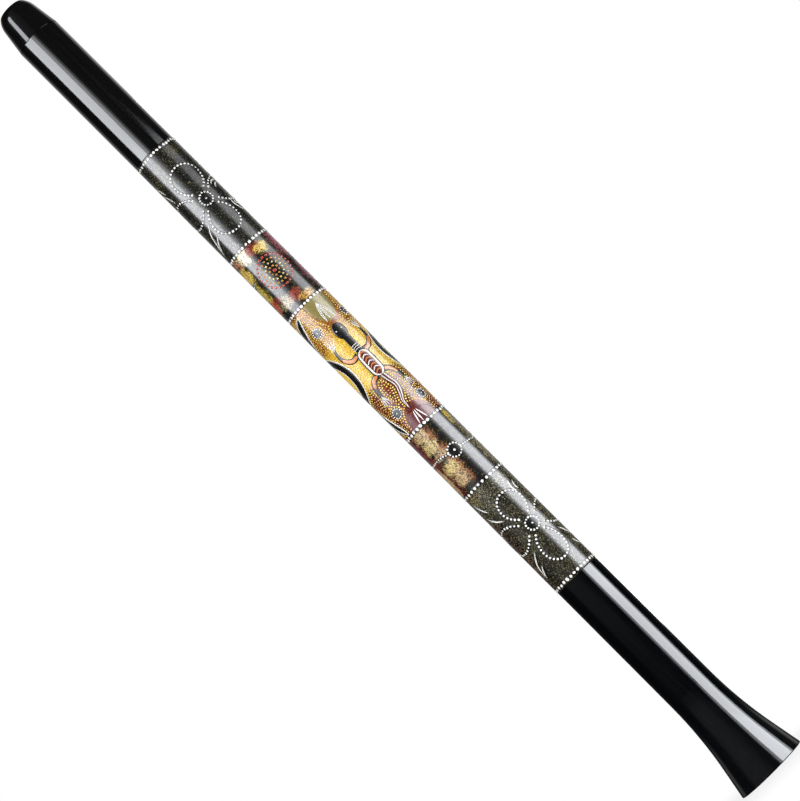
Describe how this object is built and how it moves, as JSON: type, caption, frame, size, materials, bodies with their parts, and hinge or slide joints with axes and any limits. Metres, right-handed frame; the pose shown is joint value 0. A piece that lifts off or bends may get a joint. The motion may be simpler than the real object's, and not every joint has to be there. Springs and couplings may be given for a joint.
{
  "type": "didgeridoo",
  "caption": "Straight synthetic didgeridoo: tapered moulded mouthpiece, plain tube wrapped in dotted printed bands, and a flared bell.",
  "frame": {"origin": "centre of the bell rim, on the plane that the instrument stands on", "axes": "+Z along the tube, from the bell to the mouthpiece; -Y is the front of the printed artwork"},
  "size_m": [0.0946, 0.0944, 1.295],
  "materials": {
    "mouthpiece_black": "gloss",
    "tube_black": "gloss",
    "bell_black": "gloss",
    "print_upper_floral": "gloss",
    "print_upper_dark": "gloss",
    "print_centre": "gloss",
    "print_lower_dark": "gloss",
    "print_lower_floral": "gloss"
  },
  "bodies": {
    "root": {"mouthpiece": "mouthpiece_black", "body_tube": "tube_black", "bell": "bell_black", "film_upper_floral": "print_upper_floral", "film_upper_dark": "print_upper_dark", "film_centre": "print_centre", "film_lower_dark": "print_lower_dark", "film_lower_floral": "print_lower_floral"}
  },
  "joints": []
}
